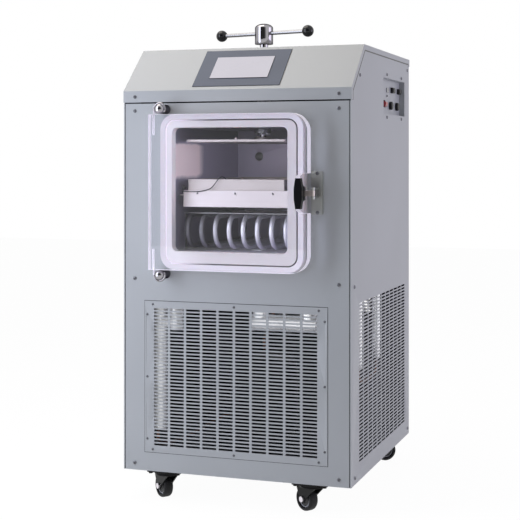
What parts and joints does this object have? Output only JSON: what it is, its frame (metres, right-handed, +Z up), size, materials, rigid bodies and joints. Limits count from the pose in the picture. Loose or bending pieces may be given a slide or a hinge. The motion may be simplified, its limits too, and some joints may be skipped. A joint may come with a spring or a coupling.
{
  "type": "freeze dryer",
  "caption": "Floor-standing freeze dryer on casters with a clear chamber door, heated shelf, ice coil, hand-turned stoppering press and touch panel.",
  "frame": {"origin": "on the floor under the centre of the whole object's box, from the latch knob's front to the vacuum port's end", "axes": "+Z up, the door and the grille face -Y, +X is the latch and recess side"},
  "size_m": [0.6022, 0.7718, 1.222],
  "materials": {
    "coat": "fine satin powder coat",
    "zinc": "zinc plated",
    "screw": "dark",
    "fascia": "satin film",
    "display": "lit display",
    "stainless": "brushed",
    "foam": "closed cell",
    "silicone": "matt white",
    "acrylic": "polished",
    "cable": "matt",
    "black_plastic": "gloss",
    "grey_plastic": "matt",
    "red_plastic": "gloss",
    "black_steel": "black enamel",
    "tread": "matt",
    "fins": "plain",
    "foil": "crinkled foil",
    "copper": "drawn copper"
  },
  "bodies": {
    "cabinet": {"base_pan": "zinc", "corner_posts": "zinc", "chamber_rails": "zinc", "front_panel": "coat", "front_grille": "coat", "console_cover": "coat", "left_panel": "coat", "right_panel": "coat", "rear_panel": "coat", "cabinet_screws": "screw", "small_screws": "screw", "control_fascia": "fascia", "touch_screen": "display", "recess_box": "coat", "relay_plug": "grey_plastic", "data_sockets": "black_plastic", "round_sockets": "black_plastic", "chamber_shell": "stainless", "chamber_foam": "foam", "door_gasket": "silicone", "shelf_cleats": "stainless", "heated_shelf": "stainless", "product_tray": "stainless", "probe_gland": "stainless", "probe_lead": "cable", "probe_tip": "stainless", "evaporator_coil": "stainless", "coil_rails": "stainless", "hinge_posts": "stainless", "hinge_pins": "stainless", "latch_bracket": "stainless", "spindle_gland": "stainless", "caster_plates": "zinc", "compressor": "black_steel", "condenser": "fins", "fan_shroud": "black_steel", "fan_motor": "black_steel", "insulated_pipes": "foil", "copper_pipes": "copper", "vacuum_port": "stainless"},
    "door": {"door_slab": "acrylic"},
    "swing_arm": {"latch_arm": "stainless"},
    "wing_knob": {"latch_knob": "black_plastic"},
    "handle": {"handle_hub": "stainless", "handle_bar": "stainless", "ball_knobs": "black_plastic"},
    "press": {"press_plate": "stainless", "press_spindle": "stainless"},
    "rocker": {"power_rocker": "red_plastic"},
    "fan": {"fan_blade": "black_steel"},
    "fork_fl": {"caster_fork_fl": "black_steel"},
    "wheel_fl": {"caster_wheel_fl": "tread"},
    "pedal_fl": {"brake_pedal_fl": "black_steel"},
    "fork_fr": {"caster_fork_fr": "black_steel"},
    "wheel_fr": {"caster_wheel_fr": "tread"},
    "pedal_fr": {"brake_pedal_fr": "black_steel"},
    "fork_rl": {"caster_fork_rl": "black_steel"},
    "wheel_rl": {"caster_wheel_rl": "tread"},
    "fork_rr": {"caster_fork_rr": "black_steel"},
    "wheel_rr": {"caster_wheel_rr": "tread"}
  },
  "joints": [
    {"name": "door_hinge", "type": "hinge", "parent": "cabinet", "child": "door", "pos_m": [-0.196, -0.3429, 0.7825], "axis": [0, 0, -1], "range_deg": [0, 110]},
    {"name": "latch_swing", "type": "hinge", "parent": "cabinet", "child": "swing_arm", "pos_m": [0.2145, -0.3404, 0.7825], "axis": [0, 0, 1], "range_deg": [0, 90]},
    {"name": "latch_turn", "type": "hinge", "parent": "swing_arm", "child": "wing_knob", "pos_m": [0.191, -0.3611, 0.7825], "axis": [0, -1, 0], "range_deg": [0, 90]},
    {"name": "handle_turn", "type": "hinge", "parent": "cabinet", "child": "handle", "pos_m": [0, -0.0711, 1.196], "axis": [0, 0, 1], "range_deg": [0, 1440]},
    {"name": "press_slide", "type": "slide", "parent": "cabinet", "child": "press", "axis": [0, 0, -1], "range_m": [0, 0.048]},
    {"name": "rocker_tilt", "type": "hinge", "parent": "cabinet", "child": "rocker", "pos_m": [0.2815, 0.1069, 1.014], "axis": [0, 1, 0], "range_deg": [-24, 0]},
    {"name": "fan_spin", "type": "hinge", "parent": "cabinet", "child": "fan", "pos_m": [0.165, 0.1509, 0.21], "axis": [1, 0, 0], "continuous": true},
    {"name": "swivel_fl", "type": "hinge", "parent": "cabinet", "child": "fork_fl", "pos_m": [-0.192, -0.2651, 0.0652], "axis": [0, 0, 1], "continuous": true},
    {"name": "roll_fl", "type": "hinge", "parent": "fork_fl", "child": "wheel_fl", "pos_m": [-0.20885, -0.25096, 0.03], "axis": [-0.6428, -0.766, 0], "continuous": true},
    {"name": "brake_fl", "type": "hinge", "parent": "fork_fl", "child": "pedal_fl", "pos_m": [-0.22149, -0.24035, 0.0607], "axis": [-0.6428, -0.766, 0], "range_deg": [0, 14]},
    {"name": "swivel_fr", "type": "hinge", "parent": "cabinet", "child": "fork_fr", "pos_m": [0.192, -0.2651, 0.0652], "axis": [0, 0, 1], "continuous": true},
    {"name": "roll_fr", "type": "hinge", "parent": "fork_fr", "child": "wheel_fr", "pos_m": [0.17376, -0.2528, 0.03], "axis": [-0.5592, -0.829, 0], "continuous": true},
    {"name": "brake_fr", "type": "hinge", "parent": "fork_fr", "child": "pedal_fr", "pos_m": [0.16008, -0.24357, 0.0607], "axis": [-0.5592, -0.829, 0], "range_deg": [0, 14]},
    {"name": "swivel_rl", "type": "hinge", "parent": "cabinet", "child": "fork_rl", "pos_m": [-0.214, 0.3099, 0.0652], "axis": [0, 0, 1], "continuous": true},
    {"name": "roll_rl", "type": "hinge", "parent": "fork_rl", "child": "wheel_rl", "pos_m": [-0.225, 0.32895, 0.03], "axis": [-0.866, -0.5, 0], "continuous": true},
    {"name": "swivel_rr", "type": "hinge", "parent": "cabinet", "child": "fork_rr", "pos_m": [0.214, 0.3099, 0.0652], "axis": [0, 0, 1], "continuous": true},
    {"name": "roll_rr", "type": "hinge", "parent": "fork_rr", "child": "wheel_rr", "pos_m": [0.2348, 0.31706, 0.03], "axis": [-0.3256, 0.9455, 0], "continuous": true}
  ],
  "couplings": [
    {"joint": "press_slide", "follows": "handle_turn", "m_per_rad": 0.0019099}
  ]
}
